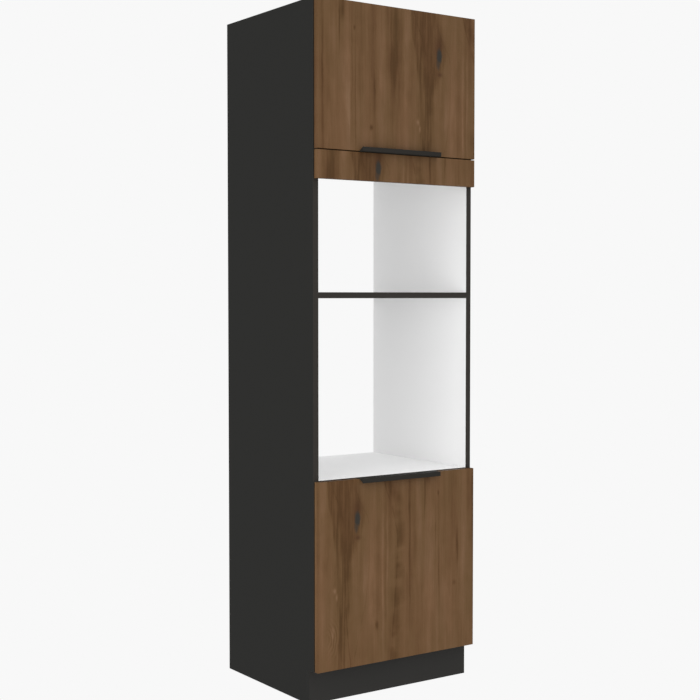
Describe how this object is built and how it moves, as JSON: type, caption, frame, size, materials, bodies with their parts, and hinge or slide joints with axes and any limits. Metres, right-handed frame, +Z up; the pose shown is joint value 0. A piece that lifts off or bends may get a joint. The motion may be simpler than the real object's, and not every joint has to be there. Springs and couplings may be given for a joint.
{
  "type": "tall oven housing unit",
  "caption": "Tall kitchen housing with two open appliance niches between an upper and a lower hinged door, edge pulls, a filler strip and a set-back plinth.",
  "frame": {"origin": "on the floor, under the middle of the whole unit's box", "axes": "+Z up, the doors and pulls face -Y, +X to the right seen from the front; the doors are hung at +X"},
  "size_m": [0.6, 0.547, 2.1],
  "materials": {
    "side_board": "melamine-faced board, anthracite outside and white inside, fine matt grain",
    "white_board": "white melamine-faced board, satin",
    "plinth_board": "anthracite melamine-faced board, matt",
    "dark_edging": "dark edge strip, matt",
    "walnut": "walnut veneer with upright grain, silk matt lacquer",
    "walnut_edging": "walnut edge strip, silk matt lacquer",
    "white_hardboard": "white lacquered hardboard",
    "black_metal": "matt black powder coat",
    "nickel_steel": "nickel-plated pressed steel",
    "zinc_steel": "zinc-plated steel",
    "zinc_casting": "die-cast zinc, dull",
    "beech": "plain fluted beech dowel",
    "grey_plastic": "moulded plastic, fine texture",
    "black_plastic": "moulded plastic, fine texture",
    "clear_rubber": "soft translucent pad"
  },
  "bodies": {
    "carcass": {"left_side_panel": "side_board", "right_side_panel": "side_board", "top_panel": "white_board", "upper_floor_panel": "white_board", "microwave_shelf": "white_board", "oven_shelf": "white_board", "bottom_panel": "white_board", "plinth_board": "plinth_board", "side_edge_bands": "dark_edging", "shelf_edge_bands": "dark_edging", "upper_back_board": "white_hardboard", "lower_back_board": "white_hardboard", "upper_loose_shelf": "white_board", "lower_loose_shelf": "white_board", "shelf_support_pins": "zinc_steel", "connector_bolts": "zinc_steel", "connector_cams": "zinc_casting", "wooden_dowels": "beech", "filler_strip": "walnut", "filler_edging": "walnut_edging", "filler_brackets": "zinc_steel", "filler_bracket_screws": "zinc_steel", "foot_brackets": "zinc_steel", "levelling_feet": "black_plastic", "foot_lock_nuts": "zinc_steel", "foot_bracket_screws": "zinc_steel", "wall_brackets": "zinc_steel", "wall_bracket_screws": "zinc_steel", "hinge_mounting_plates": "nickel_steel", "mounting_plate_screws": "nickel_steel", "hinge_arms": "nickel_steel", "hinge_arm_screws": "nickel_steel", "catch_housings": "grey_plastic", "catch_pole_plates": "zinc_steel", "catch_screws": "zinc_steel"},
    "upper_door": {"upper_door": "walnut", "upper_door_edging": "walnut_edging", "upper_hinge_cups": "nickel_steel", "upper_hinge_pins": "nickel_steel", "upper_cup_screws": "nickel_steel", "upper_pull": "black_metal", "upper_pull_screws": "zinc_steel", "upper_strike_plate": "zinc_steel", "upper_strike_screw": "zinc_steel", "upper_door_bumpers": "clear_rubber"},
    "lower_door": {"lower_door": "walnut", "lower_door_edging": "walnut_edging", "lower_hinge_cups": "nickel_steel", "lower_hinge_pins": "nickel_steel", "lower_cup_screws": "nickel_steel", "lower_pull": "black_metal", "lower_pull_screws": "zinc_steel", "lower_strike_plate": "zinc_steel", "lower_strike_screw": "zinc_steel", "lower_door_bumpers": "clear_rubber"}
  },
  "joints": [
    {"name": "upper_door_hinge", "type": "hinge", "parent": "carcass", "child": "upper_door", "pos_m": [0.2906, -0.2455, 1.87775], "axis": [0, 0, 1], "range_deg": [0, 95]},
    {"name": "lower_door_hinge", "type": "hinge", "parent": "carcass", "child": "lower_door", "pos_m": [0.2906, -0.2455, 0.3895], "axis": [0, 0, 1], "range_deg": [0, 95]}
  ]
}
